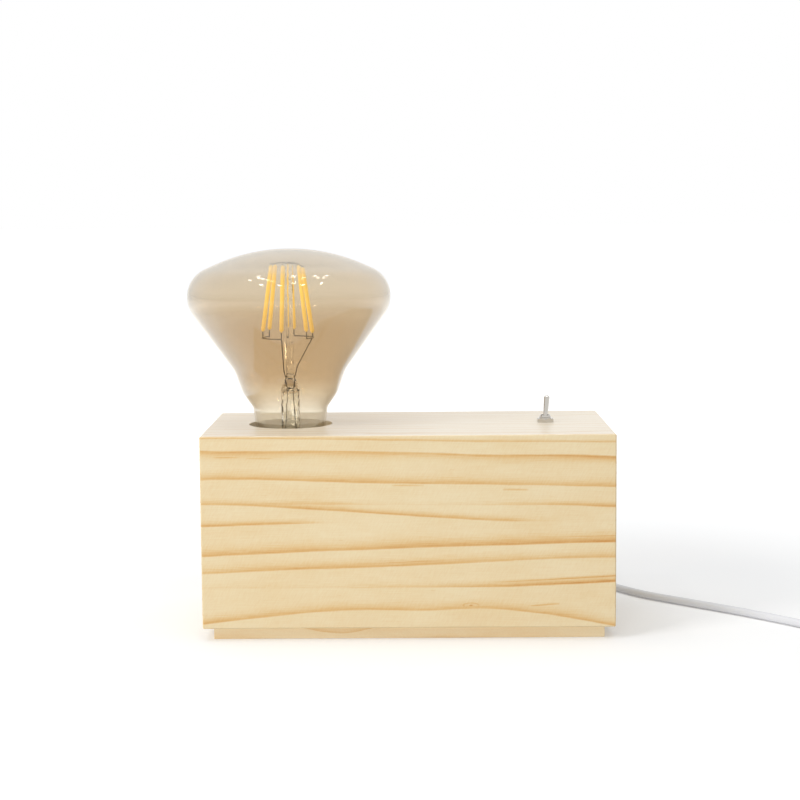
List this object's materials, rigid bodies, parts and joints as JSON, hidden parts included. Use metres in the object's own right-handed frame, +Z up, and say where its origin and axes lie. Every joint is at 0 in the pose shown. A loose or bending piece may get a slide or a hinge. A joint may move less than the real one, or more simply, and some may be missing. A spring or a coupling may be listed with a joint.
{
  "type": "bare bulb table lamp",
  "caption": "Table lamp: a hollow pine block with a bare globe bulb standing in a round hole, a toggle switch beside it and a cord with a plug.",
  "frame": {"origin": "middle of the block's base, on the surface it stands on", "axes": "+Z up, +X along the block's width from the bulb to the switch, -Y out of the front"},
  "size_m": [0.3781, 0.196, 0.1885],
  "materials": {
    "pine": "planed pine, clear matt oil",
    "cleat_wood": "sawn softwood",
    "zinc_screw": "zinc plated",
    "amber_glass": "thin amber tinted glass",
    "clear_glass": "clear flint glass",
    "phosphor": "yellow phosphor silicone",
    "support_wire": "nickel iron wire",
    "cap_metal": "nickel plated",
    "cap_glass": "black vitrite",
    "solder": "soldered",
    "strap_steel": "zinc plated sheet",
    "brass": "bright",
    "holder_plastic": "moulded white",
    "holder_ceramic": "unglazed",
    "switch_plastic": "moulded",
    "nickel": "bright nickel plating",
    "tinned": "tinned",
    "white_pvc": "smooth flexible sheath",
    "clamp_plastic": "moulded nylon",
    "blue_pvc": "flexible",
    "brown_pvc": "flexible",
    "pin_metal": "nickel plated"
  },
  "bodies": {
    "lamp": {"front_panel": "pine", "back_panel": "pine", "left_panel": "pine", "right_panel": "pine", "top_panel": "pine", "base_plate": "pine", "corner_blocks": "cleat_wood", "base_screws": "zinc_screw", "bracket_screws": "zinc_screw", "clamp_screws": "zinc_screw", "terminal_screws": "zinc_screw", "holder_bracket": "strap_steel", "holder_nipple": "brass", "nipple_nuts": "brass", "screw_shell": "brass", "centre_contact": "brass", "holder_terminals": "brass", "holder_body": "holder_plastic", "holder_skirt": "holder_plastic", "holder_core": "holder_ceramic", "switch_case": "switch_plastic", "switch_bushing": "nickel", "switch_nut": "nickel", "switch_terminals": "tinned", "cord_gland": "white_pvc", "cord_inner": "white_pvc", "cord_free": "white_pvc", "cord_coil": "white_pvc", "cord_tail": "white_pvc", "plug_body": "white_pvc", "cord_clamp": "clamp_plastic", "lead_neutral": "blue_pvc", "lead_live": "brown_pvc", "lead_switched": "brown_pvc", "plug_pins": "pin_metal"},
    "bulb_carrier": {"tip_contact": "solder"},
    "bulb": {"bulb_glass": "amber_glass", "bulb_stem": "clear_glass", "filaments": "phosphor", "filament_wires": "support_wire", "bulb_leads": "support_wire", "bulb_cap": "cap_metal", "cap_insulator": "cap_glass"},
    "lever": {"switch_lever": "nickel"},
    "rocker": {"switch_rocker": "brass"}
  },
  "joints": [
    {"name": "bulb_rise", "type": "slide", "parent": "lamp", "child": "bulb_carrier", "axis": [0, 0, 1], "range_m": [0, 0.0218]},
    {"name": "bulb_turn", "type": "hinge", "parent": "bulb_carrier", "child": "bulb", "pos_m": [-0.0594, 0, 0.058], "axis": [0, 0, 1], "range_deg": [0, 2160]},
    {"name": "lever_throw", "type": "hinge", "parent": "lamp", "child": "lever", "pos_m": [0.0693, 0, 0.1012], "axis": [-0.9063, 0.4226, 0], "range_deg": [-24, 0]},
    {"name": "rocker_tilt", "type": "hinge", "parent": "lamp", "child": "rocker", "pos_m": [0.0693, 0, 0.0905], "axis": [-0.9063, 0.4226, 0], "range_deg": [0, 14.1]}
  ],
  "couplings": [
    {"joint": "bulb_rise", "follows": "bulb_turn", "m_per_rad": 0.00057773},
    {"joint": "rocker_tilt", "follows": "lever_throw", "ratio": -0.58333}
  ]
}
